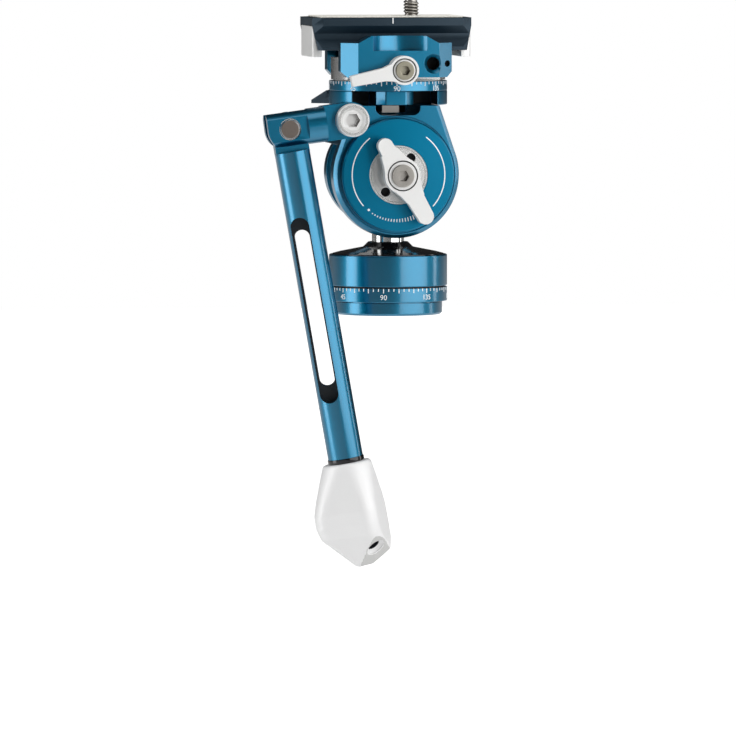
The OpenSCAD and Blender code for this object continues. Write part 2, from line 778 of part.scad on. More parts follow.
// grip: round at the rod, square and off centre at its widest, with an oblique end face
module handle_grip() color(silver) at_rod() translate([0, 0, rod_len]) difference() {
  hull() {
    cylinder(r = 9.6, h = 0.2, $fn = 48);
    translate([0, 0, 1.4]) cylinder(r = 10.2, h = 0.2, $fn = 48);
    grip_level(8, 0.9, 4.6, 8);
    grip_level(14, 1.5, 8, 6.8);
    grip_level(19.4, 2, 10.3, 5.9);
    grip_level(24.6, 2, 10.6, 5.7);
    grip_level(29, 1.5, 9.8, 5.6);
    grip_level(33, -1.2, 7.2, 5.4);
    grip_level(37.4, -4.4, 2.6, 5.2);
    translate([-0.4, 0, grip_len - 0.4]) cylinder(r = 3.6, h = 0.4, $fn = 24);
  }
  zbar(5, -1, 12);
  translate([-4.7, -7.5, 35.6]) rotate([0, 0, grip_face_turn]) rotate([grip_face_tilt, 0, 0]) {
    box([-30, -30, 0], [30, 30, 30]);
    zbar(quarter_r, -10, 1);
    translate([0, 0, -1.4]) cylinder(r1 = quarter_r, r2 = 4, h = 1.4);
  }
}

base_flange();
base_scale_ring();
socket_bush();
pan_bearing_washer();
pan_thrust_washer();
pan_retainer();
retainer_screws();
pan_ring();
collar_cap();
ball_stem();
pan_brake_shoe();
pan_lock_lever();
pan_lock_screw();
front_cup();
rear_cup();
cup_screws();
lock_plunger();
drag_washer();
housing();
rear_plate();
rear_plate_screws();
lock_dial();
dial_hub();
rear_dial();
handle_bolt();
ball_lock_lever();
ball_lock_screw();
tilt_lock_lever();
tilt_lock_screw();
turntable_base();
top_scale_ring();
top_pan_washer();
top_pan_shoe();
top_pan_lock();
clamp_body();
spindle_nut();
rear_jaw();
rear_jaw_screws();
guide_pins();
front_jaw();
clamp_lever();
clamp_screw();
plate();
plate_pad();
end_jaw_right();
end_jaw_left();
end_rods_right();
end_rods_left();
screw_washer();
camera_screw();
handle_arm();
fold_pin();
handle_rod();
rod_ring();
handle_grip();
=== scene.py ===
"""Looks of the hybrid tripod head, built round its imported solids.

Sizes in the modelling helpers are in millimetres. A finished piece is scaled to metres, sits at the
origin with its place in its mesh, and rides on the body of the solid that it stands for.
"""

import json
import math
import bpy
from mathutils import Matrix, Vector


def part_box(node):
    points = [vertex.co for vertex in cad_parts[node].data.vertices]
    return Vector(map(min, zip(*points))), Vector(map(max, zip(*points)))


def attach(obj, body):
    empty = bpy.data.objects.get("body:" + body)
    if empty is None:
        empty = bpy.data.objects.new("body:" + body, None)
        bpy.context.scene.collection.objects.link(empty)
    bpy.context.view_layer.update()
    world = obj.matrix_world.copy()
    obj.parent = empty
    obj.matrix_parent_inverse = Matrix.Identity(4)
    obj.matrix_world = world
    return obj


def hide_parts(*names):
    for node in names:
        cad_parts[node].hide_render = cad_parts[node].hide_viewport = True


bl_info = {
    "name": "Hybrid tripod head",
    "version": (1, 0, 0),
    "blender": (4, 5, 0),
    "location": "View3D > Sidebar > Tripod head",
    "description": "Builds the finished surfaces of a tripod head with a folding handle",
    "category": "Object",
}

import bmesh
import bpy
from bpy.props import FloatProperty, FloatVectorProperty, IntProperty, PointerProperty
from mathutils import Matrix, Vector

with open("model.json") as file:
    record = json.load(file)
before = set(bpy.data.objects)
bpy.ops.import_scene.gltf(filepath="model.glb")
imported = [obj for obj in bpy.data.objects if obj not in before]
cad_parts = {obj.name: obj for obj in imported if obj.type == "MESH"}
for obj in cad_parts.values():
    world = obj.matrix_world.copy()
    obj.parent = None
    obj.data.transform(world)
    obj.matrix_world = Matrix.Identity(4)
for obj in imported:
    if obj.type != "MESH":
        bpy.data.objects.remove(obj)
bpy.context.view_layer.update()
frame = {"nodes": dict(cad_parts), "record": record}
RECORD = frame["record"]
NODE_BODY = {n: b for b, nodes in RECORD["behaviour"]["bodies"].items() for n in nodes}
NODE_SLOT = {s["node"]: s["material_slot"] for s in RECORD["subparts"]}

MM = 0.001
RING_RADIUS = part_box("pan_ring")[1].x
DIAL_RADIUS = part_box("lock_dial")[1].x

# Lengths in millimetres and angles in degrees
ROUND = 128  # sides of a turned piece
SHARP = 32  # angle from which an edge counts as sharp
ON_AXIS = 0.01  # radius that closes a turned piece at its axis
TILT_Z = 57.3  # height of the tilt axis, which runs through the ball's middle
BALL_RADIUS = 15
NUMBER_STEP = 45  # angle from one number of a scale to the next
MARK_LENGTHS = (1.75, 1.1, 1.1)  # marks of a scale, over and over
FIGURE = 1.45  # font size of figures that are one unit high
ALONG_Z = ("Z", (0, 0, 0))  # lathe axis of base and clamp
ALONG_TILT = ("Y", (0, 0, TILT_Z))  # lathe axis of the dials

# Tests on the Y part of a face's normal
FACING = 0.98
ACROSS = 0.3

# Lamps: degrees to the right of the camera, degrees up, distance, size and power in metres and watts
LAMPS = {
    "key": (53, 14, 0.6, (0.675, 0.48), 2.36),
    "strip": (-76, 8, 0.9, (0.42, 1.0), 3.8),
    "top": (-10, 68, 1.0, (0.9, 0.6), 2.2),
    "fill": (104, 14, 1.3, (0.2, 0.9), 1.6),
}
LAMP_TARGET = (-0.01, 0, 0.03)
FLOOR_REACH = 6.0
FLOOR_COLOUR = (0.86, 0.86, 0.86, 1)
FLOOR_SEEN, FLOOR_MIRRORED = 0.8, 0.15  # glow that the camera and that polished faces see
ROOM_MIRRORED, ROOM_FRONT = 0.04, -0.02  # room in polished faces, and its change along Y
ROOM_SPREAD = 0.52  # room's light on dull faces


# SETTINGS


def distance(name, description, default, **more):
    return FloatProperty(name=name, description=description, default=default,
                         subtype="DISTANCE", precision=5, **more)


def colour(name, description, default):
    return FloatVectorProperty(name=name, description=description, default=default,
                               size=3, min=0, max=1, subtype="COLOR")


class HeadSizes(bpy.types.PropertyGroup):
    """Sizes of what is drawn on and round the solids."""
    ring_radius: distance("Ring radius", "Outside of the pan ring and the scale rings", RING_RADIUS)
    dial_radius: distance("Dial radius", "Outside of the lock dial", DIAL_RADIUS)
    edge: distance("Edge rounding", "Rounding of machined edges", 0.0003)
    cast_edge: distance("Lever rounding", "Rounding of the cast levers' edges", 0.0009)
    mark_width: distance("Mark width", "Width of a printed mark", 0.00036)
    ink: distance("Ink", "How far printed marks stand on the metal", 0.00005)
    number_height: distance("Number height", "Height of the printed numbers", 0.0020)
    marks: IntProperty(name="Marks", description="Marks round a scale", default=72, min=12, max=360)
    thread_pitch: distance("Thread pitch", "Pitch of the camera screw's thread", 0.00127)


class HeadColours(bpy.types.PropertyGroup):
    """Colours of the finishes."""
    blue: colour("Blue", "Anodised aluminium", (0.001, 0.172, 0.308))
    navy: colour("Navy", "Anodised plate", (0.015, 0.033, 0.050))
    # Silver also goes on the bevel round the dial hub's rim, as a painted highlight
    silver: colour("Silver", "Blasted levers, end jaws and bolt", (0.80, 0.80, 0.79))
    satin: colour("Satin", "Grip", (0.81, 0.81, 0.81))
    machined: colour("Machined", "End face of the grip", (0.56, 0.56, 0.55))
    steel: colour("Steel", "Screws and pins", (0.42, 0.40, 0.37))
    warm: colour("Warm steel", "Clamp lever's screw", (0.34, 0.32, 0.25))
    polished: colour("Polished", "Ball, cups, hub and bright faces", (0.72, 0.72, 0.71))
    black: colour("Black", "Collar cap, rod ring and plastic", (0.012, 0.012, 0.014))
    # Pin is the fold pin's own dark steel, and also painted shade on the side walls of the screw heads and of
    # the bolt's socket
    pin: colour("Pin", "Fold pin and walls of the sockets", (0.20, 0.17, 0.15))
    # Bore is painted shade: a near-black put on the walls and floors of bores, grooves, pockets and recesses,
    # where shade falls
    bore: colour("Bore", "Inside of bores and recesses", (0.006, 0.009, 0.012))
    brass: colour("Brass", "Brake shoes", (0.60, 0.42, 0.16))
    nylon: colour("Nylon", "Washers", (0.78, 0.77, 0.72))
    pad: colour("Pad", "Pad on the plate", (0.84, 0.82, 0.75))
    ink: colour("Ink", "Printed marks and numbers", (0.90, 0.92, 0.92))


class StageSettings(bpy.types.PropertyGroup):
    """Camera and floor."""
    azimuth: FloatProperty(name="Azimuth", description="Turn of the camera", default=math.radians(-9.6),
                           subtype="ANGLE")
    elevation: FloatProperty(name="Elevation", description="Rise of the camera", default=math.radians(3.2),
                             subtype="ANGLE")
    reach: distance("Distance", "Camera to the object", 4.0)
    width: distance("Frame width", "Width of the view at the object", 0.2996)
    across: distance("Across", "Middle of the view, sideways from the base axis", -0.00814)
    up: distance("Up", "Middle of the view, up from the base", -0.0222)
    floor: distance("Floor", "Height of the floor", -0.30)


def sizes():
    return bpy.context.scene.head_sizes


def colours():
    return bpy.context.scene.head_colours


# MESH HELPERS


def in_scene(name, data):
    """Object of the scene with the given data."""
    obj = bpy.data.objects.new(name, data)
    bpy.context.scene.collection.objects.link(obj)
    return obj


def from_bmesh(name, bm):
    """Object from a bmesh, which is freed."""
    mesh = bpy.data.meshes.new(name)
    bm.to_mesh(mesh)
    bm.free()
    return in_scene(name, mesh)


def clean(bm, weld, sliver):
    """Merges points and takes out faces without area, at distances in millimetres."""
    bmesh.ops.remove_doubles(bm, verts=bm.verts, dist=weld)
    bmesh.ops.dissolve_degenerate(bm, edges=bm.edges, dist=sliver)


def link(name, bm):
    """Object from a bmesh in millimetres, cleaned and with its faces outwards."""
    clean(bm, weld=1e-5, sliver=1e-6)
    bmesh.ops.recalc_face_normals(bm, faces=bm.faces)
    return from_bmesh(name, bm)


def applied(obj):
    """Turns the object's modifiers into its own mesh."""
    deps = bpy.context.evaluated_depsgraph_get()
    mesh = bpy.data.meshes.new_from_object(obj.evaluated_get(deps), depsgraph=deps)
    obj.modifiers.clear()
    old = obj.data
    obj.data = mesh
    bpy.data.meshes.remove(old)
    return obj


def rounded(points, closed=True, steps=5):
    """Corners (a, b) or (a, b, radius), each radius drawn as a curve."""
    out, count = [], len(points)
    for i, point in enumerate(points):
        here = Vector(point[:2])
        if len(point) < 3 or not (closed or 0 < i < count - 1):
            out.append(here)
            continue
        before = Vector(points[i - 1][:2]) - here
        after = Vector(points[(i + 1) % count][:2]) - here
        reach = point[2] / math.tan(before.angle(after) / 2)
        reach = min(reach, before.length * 0.49, after.length * 0.49)
        start, end = here + before.normalized() * reach, here + after.normalized() * reach
        for k in range(steps + 1):
            t = k / steps
            out.append(start * (1 - t) ** 2 + here * (2 * t * (1 - t)) + end * t * t)
    return out


PLACES = {
    "X": lambda a, b, h: (h, a, b),
    "Y": lambda a, b, h: (a, h, b),
    "Z": lambda a, b, h: (a, b, h),
}


def lathe(name, points, axis="Z", at=(0, 0), steps=ROUND):
    """Turned solid: points are (radius, height, rounding) round an axis through at."""
    profile, place = rounded(points), PLACES[axis]
    bm = bmesh.new()
    rings = []
    for k in range(steps):
        a = 2 * math.pi * k / steps
        c, s = math.cos(a), math.sin(a)
        rings.append([bm.verts.new(place(at[0] + r * c, at[1] + r * s, h)) for r, h in profile])
    for k, ring in enumerate(rings):
        other = rings[(k + 1) % steps]
        for i in range(len(profile)):
            j = (i + 1) % len(profile)
            bm.faces.new((ring[i], ring[j], other[j], other[i]))
    return link(name, bm)


def loft(name, sections):
    """Closed solid through rings of points, capped at both ends."""
    bm = bmesh.new()
    rings = [[bm.verts.new(p) for p in section] for section in sections]
    for a, b in zip(rings, rings[1:]):
        for i in range(len(a)):
            j = (i + 1) % len(a)
            bm.faces.new((a[i], a[j], b[j], b[i]))
    bm.faces.new(rings[0])
    bm.faces.new(rings[-1][::-1])
    return link(name, bm)


def prism(name, outline, axis, low, high):
    """Outline in the two other axes, drawn out along an axis."""
    place = PLACES[axis]
    flat = rounded(outline)
    return loft(name, [[place(a, b, h) for a, b in flat] for h in (low, high)])


def rod(name, radius, axis, low, high, at=(0, 0), steps=ROUND):
    turn = [2 * math.pi * k / steps for k in range(steps)]
    return prism(name, [(at[0] + radius * math.cos(a), at[1] + radius * math.sin(a)) for a in turn],
                 axis, low, high)


def block(name, low, high):
    return prism(name, [(low[0], low[1]), (high[0], low[1]), (high[0], high[1]), (low[0], high[1])],
                 "Z", low[2], high[2])


def combine(how, obj, *tools):
    """Cuts tools from a solid or keeps what they share."""
    for tool in tools:
        step = obj.modifiers.new("combine", "BOOLEAN")
        step.operation, step.solver, step.object = how, "EXACT", tool
    applied(obj)
    for tool in tools:
        bpy.data.objects.remove(tool)
    return obj


def cut(obj, *tools):
    return combine("DIFFERENCE", obj, *tools)


def common(obj, *tools):
    return combine("INTERSECT", obj, *tools)


def soften(obj, width=None, segments=2, angle=SHARP, least=0.0):
    """Rounds the edges that stand sharper than an angle and are longer than the least length."""
    bm = bmesh.new()
    bm.from_mesh(obj.data)
    weight = bm.edges.layers.float.new("bevel_weight_edge")
    for edge in bm.edges:
        edge[weight] = edge.calc_length() > least and edge.calc_face_angle(0) > math.radians(angle)
    bm.to_mesh(obj.data)
    bm.free()
    step = obj.modifiers.new("edge", "BEVEL")
    step.width = sizes().edge / MM if width is None else width
    step.segments, step.limit_method = segments, "WEIGHT"
    applied(obj)
    obj.data.attributes.remove(obj.data.attributes["bevel_weight_edge"])
    return obj


def solid_copy(node, name):
    """Copy of a solid's mesh in millimetres, merged and with its flat faces whole."""
    bm = bmesh.new()
    bm.from_mesh(frame["nodes"][node].data)
    bm.transform(Matrix.Scale(1 / MM, 4))
    clean(bm, weld=1e-4, sliver=0.01)
    bmesh.ops.dissolve_limit(bm, angle_limit=math.radians(0.05), verts=bm.verts, edges=bm.edges)
    return link(name, bm)


def shade(obj, sharp=SHARP):
    """Smooth shading between edges that stand sharper than an angle."""
    mesh = obj.data
    mesh.polygons.foreach_set("use_smooth", [True] * len(mesh.polygons))
    mesh.set_sharp_from_angle(angle=math.radians(sharp))
    step = obj.modifiers.new("normals", "WEIGHTED_NORMAL")
    step.keep_sharp = True
    return applied(obj)


def settle(obj, node, surface, sharp=SHARP):
    """Cleans, shades and carries a piece that stands for a solid."""
    bm = bmesh.new()
    bm.from_mesh(obj.data)
    clean(bm, weld=0.002, sliver=0.002)
    bm.to_mesh(obj.data)
    bm.free()
    shade(obj, sharp)
    return carry(obj, node, surface, stands_for=True)


def carry(obj, node, surface, stands_for=False):
    """Gives a piece its finish, its scale and its body, and hides the solid that it stands for, if any."""
    obj.data.transform(Matrix.Scale(MM, 4))
    obj.data.materials.clear()
    obj.data.materials.append(surface)
    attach(obj, NODE_BODY[node])
    if stands_for:
        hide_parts(node)
    return obj


# FINISHES


class Wiring:
    """Short names for making nodes and joining sockets in a tree."""

    def __init__(self, tree):
        self.tree = tree

    def node(self, kind, **values):
        made = self.tree.nodes.new(kind)
        for key, value in values.items():
            setattr(made, key, value)
        return made

    def join(self, source, target):
        self.tree.links.new(source, target)

    def maths(self, operation, a, b=None):
        made = self.node("ShaderNodeMath", operation=operation)
        for socket, value in zip(made.inputs, (a, b)):
            if hasattr(value, "is_output"):
                self.join(value, socket)
            elif value is not None:
                socket.default_value = value
        return made.outputs[0]


def shader_group(name, inputs, outputs):
    group = bpy.data.node_groups.new(name, "ShaderNodeTree")
    for label, kind, default in inputs:
        socket = group.interface.new_socket(name=label, in_out="INPUT", socket_type=kind)
        socket.default_value = default
    for label, kind in outputs:
        group.interface.new_socket(name=label, in_out="OUTPUT", socket_type=kind)
    wire = Wiring(group)
    return group, wire, wire.node("NodeGroupInput"), wire.node("NodeGroupOutput")


def blasted_grain():
    """Fine pits of a bead-blasted and anodised surface, with slow changes of tone."""
    group, wire, given, out = shader_group(
        "blasted grain",
        [("Colour", "NodeSocketColor", (0.5, 0.5, 0.5, 1)), ("Roughness", "NodeSocketFloat", 0.4),
         ("Grain", "NodeSocketFloat", 3800.0), ("Tone", "NodeSocketFloat", 0.08)],
        [("Colour", "NodeSocketColor"), ("Roughness", "NodeSocketFloat"), ("Height", "NodeSocketFloat")])
    place = wire.node("ShaderNodeTexCoord")
    pits = wire.node("ShaderNodeTexNoise")
    pits.inputs["Detail"].default_value = 3
    slow = wire.node("ShaderNodeTexNoise")
    slow.inputs["Scale"].default_value = 46
    slow.inputs["Detail"].default_value = 4
    wire.join(place.outputs["Object"], pits.inputs["Vector"])
    wire.join(given.outputs["Grain"], pits.inputs["Scale"])
    wire.join(place.outputs["Object"], slow.inputs["Vector"])
    swing = wire.maths("SUBTRACT", slow.outputs["Fac"], 0.5)
    speck = wire.maths("SUBTRACT", pits.outputs["Fac"], 0.5)
    tone = wire.maths("MULTIPLY", wire.maths("ADD", swing, speck), given.outputs["Tone"])
    shift = wire.node("ShaderNodeHueSaturation")
    wire.join(given.outputs["Colour"], shift.inputs["Color"])
    wire.join(wire.maths("ADD", 1.0, wire.maths("MULTIPLY", tone, 2.0)), shift.inputs["Value"])
    wire.join(shift.outputs["Color"], out.inputs["Colour"])
    wire.join(wire.maths("ADD", given.outputs["Roughness"], tone), out.inputs["Roughness"])
    wire.join(pits.outputs["Fac"], out.inputs["Height"])
    return group


def turned_lines():
    """Fine rings that a lathe leaves round the Z axis of its vector."""
    group, wire, given, out = shader_group(
        "turned lines",
        [("Vector", "NodeSocketVector", (0, 0, 0)), ("Lines", "NodeSocketFloat", 5200.0)],
        [("Height", "NodeSocketFloat")])
    split = wire.node("ShaderNodeSeparateXYZ")
    wire.join(given.outputs["Vector"], split.inputs[0])
    square = [wire.maths("MULTIPLY", split.outputs[i], split.outputs[i]) for i in (0, 1)]
    radius = wire.maths("SQRT", wire.maths("ADD", square[0], square[1]))
    lay = wire.node("ShaderNodeCombineXYZ")
    wire.join(radius, lay.inputs[0])
    wire.join(split.outputs[2], lay.inputs[1])
    lines = wire.node("ShaderNodeTexNoise")
    lines.inputs["Detail"].default_value = 2
    wire.join(lay.outputs[0], lines.inputs["Vector"])
    wire.join(given.outputs["Lines"], lines.inputs["Scale"])
    wire.join(lines.outputs["Fac"], out.inputs["Height"])
    return group


GROUPS = {}
FINISHES = {}


def finish(name, tint, roughness, metallic=1.0, grain=3800.0, tone=0.08, bump=0.05, turned=None,
           coat=0.0, coat_roughness=0.2, coat_ior=1.5):
    """Procedural finish: blasted metal, or turned metal where an axis and its middle are given."""
    if name in FINISHES:
        return FINISHES[name]
    if not GROUPS:
        GROUPS.update(blast=blasted_grain(), turned=turned_lines())
    material = bpy.data.materials.new(name)
    material.use_nodes = True
    material.diffuse_color = (*tint, 1)
    wire = Wiring(material.node_tree)
    body = material.node_tree.nodes["Principled BSDF"]
    body.inputs["Metallic"].default_value = metallic
    body.inputs["Coat Weight"].default_value = coat
    body.inputs["Coat Roughness"].default_value = coat_roughness
    body.inputs["Coat IOR"].default_value = coat_ior
    blast = wire.node("ShaderNodeGroup", node_tree=GROUPS["blast"])
    blast.inputs["Colour"].default_value = (*tint, 1)
    for label, value in (("Roughness", roughness), ("Grain", grain), ("Tone", tone)):
        blast.inputs[label].default_value = value
    wire.join(blast.outputs["Colour"], body.inputs["Base Color"])
    wire.join(blast.outputs["Roughness"], body.inputs["Roughness"])
    height = blast.outputs["Height"]
    if turned:
        axis, middle = turned
        place = wire.node("ShaderNodeTexCoord")
        centre = wire.node("ShaderNodeMapping", vector_type="POINT")
        turn = {"X": (0, -math.pi / 2, 0), "Y": (math.pi / 2, 0, 0), "Z": (0, 0, 0)}[axis]
        centre.inputs["Rotation"].default_value = turn
        shift = Matrix.Rotation(turn[0], 3, "X") @ Vector(middle)
        shift = Matrix.Rotation(turn[1], 3, "Y") @ shift
        centre.inputs["Location"].default_value = -shift * MM
        lines = wire.node("ShaderNodeGroup", node_tree=GROUPS["turned"])
        wire.join(place.outputs["Object"], centre.inputs["Vector"])
        wire.join(centre.outputs["Vector"], lines.inputs["Vector"])
        height = wire.maths("ADD", wire.maths("MULTIPLY", lines.outputs["Height"], 0.8),
                            wire.maths("MULTIPLY", height, 0.4))
    relief = wire.node("ShaderNodeBump")
    relief.inputs["Strength"].default_value = bump
    relief.inputs["Distance"].default_value = 0.0001
    wire.join(height, relief.inputs["Height"])
    wire.join(relief.outputs["Normal"], body.inputs["Normal"])
    FINISHES[name] = material
    return material


def blue(turned=None, coat=0.62):
    name = "blue anodised" + (" turned " + turned[0] if turned else "")
    return finish(name, colours().blue, 0.33, bump=0.06, turned=turned, coat=coat, coat_roughness=0.15,
                  coat_ior=1.8)


def white_satin():
    return finish("white satin", colours().satin, 0.5, metallic=0.2, tone=0.03, bump=0.03)


def machined():
    return finish("machined end", colours().machined, 0.5, metallic=0.2, tone=0.06, bump=0.05)


def navy():
    return finish("navy anodised", colours().navy, 0.5, metallic=0.6, coat=0.1, coat_roughness=0.4)


def silver(turned=None):
    name = "silver blasted" + (" turned " + turned[0] if turned else "")
    return finish(name, colours().silver, 0.45, metallic=0.5, tone=0.05, bump=0.07, turned=turned)


def steel():
    return finish("steel", colours().steel, 0.3, grain=2400, tone=0.1, bump=0.04)


def warm_steel():
    return finish("warm steel", colours().warm, 0.3, grain=2400, tone=0.1, bump=0.04)


def polished():
    return finish("polished", colours().polished, 0.12, tone=0.03, bump=0.01, turned=ALONG_Z)


def black_gloss():
    return finish("black gloss", colours().black, 0.14, metallic=0.6, bump=0.02, turned=ALONG_Z,
                  coat=0.6, coat_roughness=0.08)


def bright():
    return finish("bright metal", colours().polished, 0.26, tone=0.04, bump=0.008)


# Dark pin steel: the fold pin's own colour, and painted shade on the side walls of screw heads and sockets
def pin_steel_and_painted_shade():
    return finish("pin steel and painted shade", colours().pin, 0.34, tone=0.12, bump=0.05, grain=2400)


# Painted shade: near-black finish for the insides of bores, grooves, pockets and recesses, where shade falls
def shadowed():
    return finish("bore", colours().bore, 0.6, metallic=0.0, bump=0.02)


def ink():
    return finish("white ink", colours().ink, 0.55, metallic=0.0, grain=6000, tone=0.04, bump=0.03)


SLOT_FINISH = {
    "blue_anodised": blue,
    "navy_anodised": navy,
    "silver": silver,
    "steel": steel,
    "black_gloss": black_gloss,
    "black_plastic": lambda: finish("black plastic", colours().black, 0.5, metallic=0.0, grain=1600),
    "brass": lambda: finish("brass", colours().brass, 0.35, tone=0.1),
    "nylon": lambda: finish("nylon", colours().nylon, 0.5, metallic=0.0, grain=900, tone=0.05),
    "pad": lambda: finish("plate pad", colours().pad, 0.75, metallic=0.0, grain=1500, tone=0.3, bump=0.35),
}


# MARKS AND THREADS


def geometry_tree(name, inputs):
    tree = bpy.data.node_groups.new(name, "GeometryNodeTree")
    tree.interface.new_socket(name="Geometry", in_out="OUTPUT", socket_type="NodeSocketGeometry")
    for label, kind in inputs:
        tree.interface.new_socket(name=label, in_out="INPUT", socket_type=kind)
    wire = Wiring(tree)
    return tree, wire, wire.node("NodeGroupInput"), wire.node("NodeGroupOutput")


def marks_tree():
    """Bars round the Z axis, with their outer ends on one radius."""
    number = "NodeSocketFloat"
    tree, wire, given, out = geometry_tree("marks round an axis", [
        ("Count", "NodeSocketInt"), ("Start", number), ("Step", number), ("Outer radius", number),
        ("Across", number), ("Radial", number), ("Growth", number), ("Axial", number), ("Height", number),
        ("Finish", "NodeSocketMaterial")])
    line = wire.node("GeometryNodeMeshLine")
    line.inputs["Offset"].default_value = (0, 0, 0)
    wire.join(given.outputs["Count"], line.inputs["Count"])
    index = wire.node("GeometryNodeInputIndex").outputs[0]
    angle = wire.maths("ADD", given.outputs["Start"], wire.maths("MULTIPLY", index, given.outputs["Step"]))
    growth = wire.maths("MULTIPLY", index, given.outputs["Growth"])
    length = wire.maths("ADD", given.outputs["Radial"], growth)
    radius = wire.maths("SUBTRACT", given.outputs["Outer radius"], wire.maths("MULTIPLY", length, 0.5))
    spot = wire.node("ShaderNodeCombineXYZ")
    wire.join(wire.maths("MULTIPLY", radius, wire.maths("COSINE", angle)), spot.inputs[0])
    wire.join(wire.maths("MULTIPLY", radius, wire.maths("SINE", angle)), spot.inputs[1])
    wire.join(given.outputs["Height"], spot.inputs[2])
    turn = wire.node("ShaderNodeCombineXYZ")
    wire.join(angle, turn.inputs[2])
    size = wire.node("ShaderNodeCombineXYZ")
    wire.join(length, size.inputs[0])
    wire.join(given.outputs["Across"], size.inputs[1])
    wire.join(given.outputs["Axial"], size.inputs[2])
    moved = wire.node("GeometryNodeSetPosition")
    wire.join(line.outputs["Mesh"], moved.inputs["Geometry"])
    wire.join(spot.outputs[0], moved.inputs["Position"])
    bar = wire.node("GeometryNodeMeshCube")
    placed = wire.node("GeometryNodeInstanceOnPoints")
    wire.join(moved.outputs["Geometry"], placed.inputs["Points"])
    wire.join(bar.outputs["Mesh"], placed.inputs["Instance"])
    wire.join(turn.outputs[0], placed.inputs["Rotation"])
    wire.join(size.outputs[0], placed.inputs["Scale"])
    real = wire.node("GeometryNodeRealizeInstances")
    wire.join(placed.outputs["Instances"], real.inputs["Geometry"])
    dress = wire.node("GeometryNodeSetMaterial")
    wire.join(real.outputs["Geometry"], dress.inputs["Geometry"])
    wire.join(given.outputs["Finish"], dress.inputs["Material"])
    wire.join(dress.outputs["Geometry"], out.inputs["Geometry"])
    return tree


def thread_tree():
    """Ridge of a screw thread that climbs round the Z axis."""
    number = "NodeSocketFloat"
    tree, wire, given, out = geometry_tree("thread ridge", [
        ("Radius", number), ("Ridge", number), ("Turns", number), ("Length", number),
        ("Finish", "NodeSocketMaterial")])
    climb = wire.node("GeometryNodeCurveSpiral")
    climb.inputs["Resolution"].default_value = 40
    wire.join(given.outputs["Turns"], climb.inputs["Rotations"])
    for label in ("Start Radius", "End Radius"):
        wire.join(given.outputs["Radius"], climb.inputs[label])
    wire.join(given.outputs["Length"], climb.inputs["Height"])
    upright = wire.node("GeometryNodeSetCurveNormal", mode="Z_UP")
    wire.join(climb.outputs["Curve"], upright.inputs["Curve"])
    ridge = wire.node("GeometryNodeCurvePrimitiveCircle", mode="RADIUS")
    ridge.inputs["Resolution"].default_value = 4
    wire.join(given.outputs["Ridge"], ridge.inputs["Radius"])
    sweep = wire.node("GeometryNodeCurveToMesh")
    sweep.inputs["Fill Caps"].default_value = True
    wire.join(upright.outputs["Curve"], sweep.inputs["Curve"])
    wire.join(ridge.outputs["Curve"], sweep.inputs["Profile Curve"])
    real = wire.node("GeometryNodeRealizeInstances")
    wire.join(sweep.outputs["Mesh"], real.inputs["Geometry"])
    dress = wire.node("GeometryNodeSetMaterial")
    wire.join(real.outputs["Geometry"], dress.inputs["Geometry"])
    wire.join(given.outputs["Finish"], dress.inputs["Material"])
    wire.join(dress.outputs["Geometry"], out.inputs["Geometry"])
    return tree


TREES = {}


def grown(name, make, **values):
    """Mesh object in millimetres from a geometry tree and its input values."""
    if make.__name__ not in TREES:
        TREES[make.__name__] = make()
    tree = TREES[make.__name__]
    obj = in_scene(name, bpy.data.meshes.new(name))
    step = obj.modifiers.new("grow", "NODES")
    step.node_group = tree
    names = {s.name: s.identifier for s in tree.interface.items_tree if s.in_out == "INPUT"}
    for label, value in values.items():
        step[names[label.replace("_", " ")]] = value
    return applied(obj)


def ring_marks(name, **values):
    values.setdefault("Growth", 0.0)
    return grown(name, marks_tree, Finish=ink(), **values)


def printed(name, words, height):
    """Flat mesh of printed figures, centred, in millimetres."""
    text = bpy.data.curves.new(name, "FONT")
    text.body, text.size = words, height * FIGURE
    text.align_x = text.align_y = "CENTER"
    text.extrude = sizes().ink / MM
    text.resolution_u = 3
    obj = in_scene(name, text)
    deps = bpy.context.evaluated_depsgraph_get()
    mesh = bpy.data.meshes.new_from_object(obj.evaluated_get(deps), depsgraph=deps)
    bpy.data.objects.remove(obj)
    return mesh


def joined(name, parts):
    """One object from several."""
    bm = bmesh.new()
    for part in parts:
        bm.from_mesh(part.data)
        bpy.data.objects.remove(part)
    return from_bmesh(name, bm)


def scale_numbers(name, radius, middle, front, first):
    """Plain numbers round a ring, upright on its wall."""
    high = sizes().number_height / MM
    bm = bmesh.new()
    for turn in range(0, 360, NUMBER_STEP):
        mesh = printed(name, str((first + turn) % 360), high)
        facing = math.radians(front + turn)
        for vertex in mesh.vertices:
            x, y, z = vertex.co
            a = facing + x / radius
            r = radius + z
            vertex.co = (r * math.sin(a), -r * math.cos(a), middle + y)
        bm.from_mesh(mesh)
        bpy.data.meshes.remove(mesh)
    return from_bmesh(name, bm)


def scale(name, node, top, front, first, drop):
    """Marks of one scale ring, with its numbers below them."""
    radius, count = sizes().ring_radius / MM, sizes().marks
    step = 2 * math.pi / count
    start = math.radians(front - 90)
    lift = sizes().ink / MM
    wide = sizes().mark_width / MM
    sets = len(MARK_LENGTHS)
    parts = []
    for skip, long in enumerate(MARK_LENGTHS):
        parts.append(ring_marks(
            f"{name}_{skip}", Count=count // sets, Start=start + step * skip, Step=step * sets,
            Outer_radius=radius + lift, Across=wide, Radial=2 * lift, Axial=long, Height=top - long / 2))
    parts.append(scale_numbers(name + "_numbers", radius, top - drop, front, first))
    carry(joined(name, parts), node, ink())


# PIECES


def softened(node, width=None, segments=2, angle=SHARP, surface=None, least=0.0):
    """A solid's own shape with rounded edges, standing for the solid."""
    obj = solid_copy(node, node + "_finished")
    soften(obj, width, segments, angle, least)
    return settle(obj, node, surface or SLOT_FINISH[NODE_SLOT[node]]())


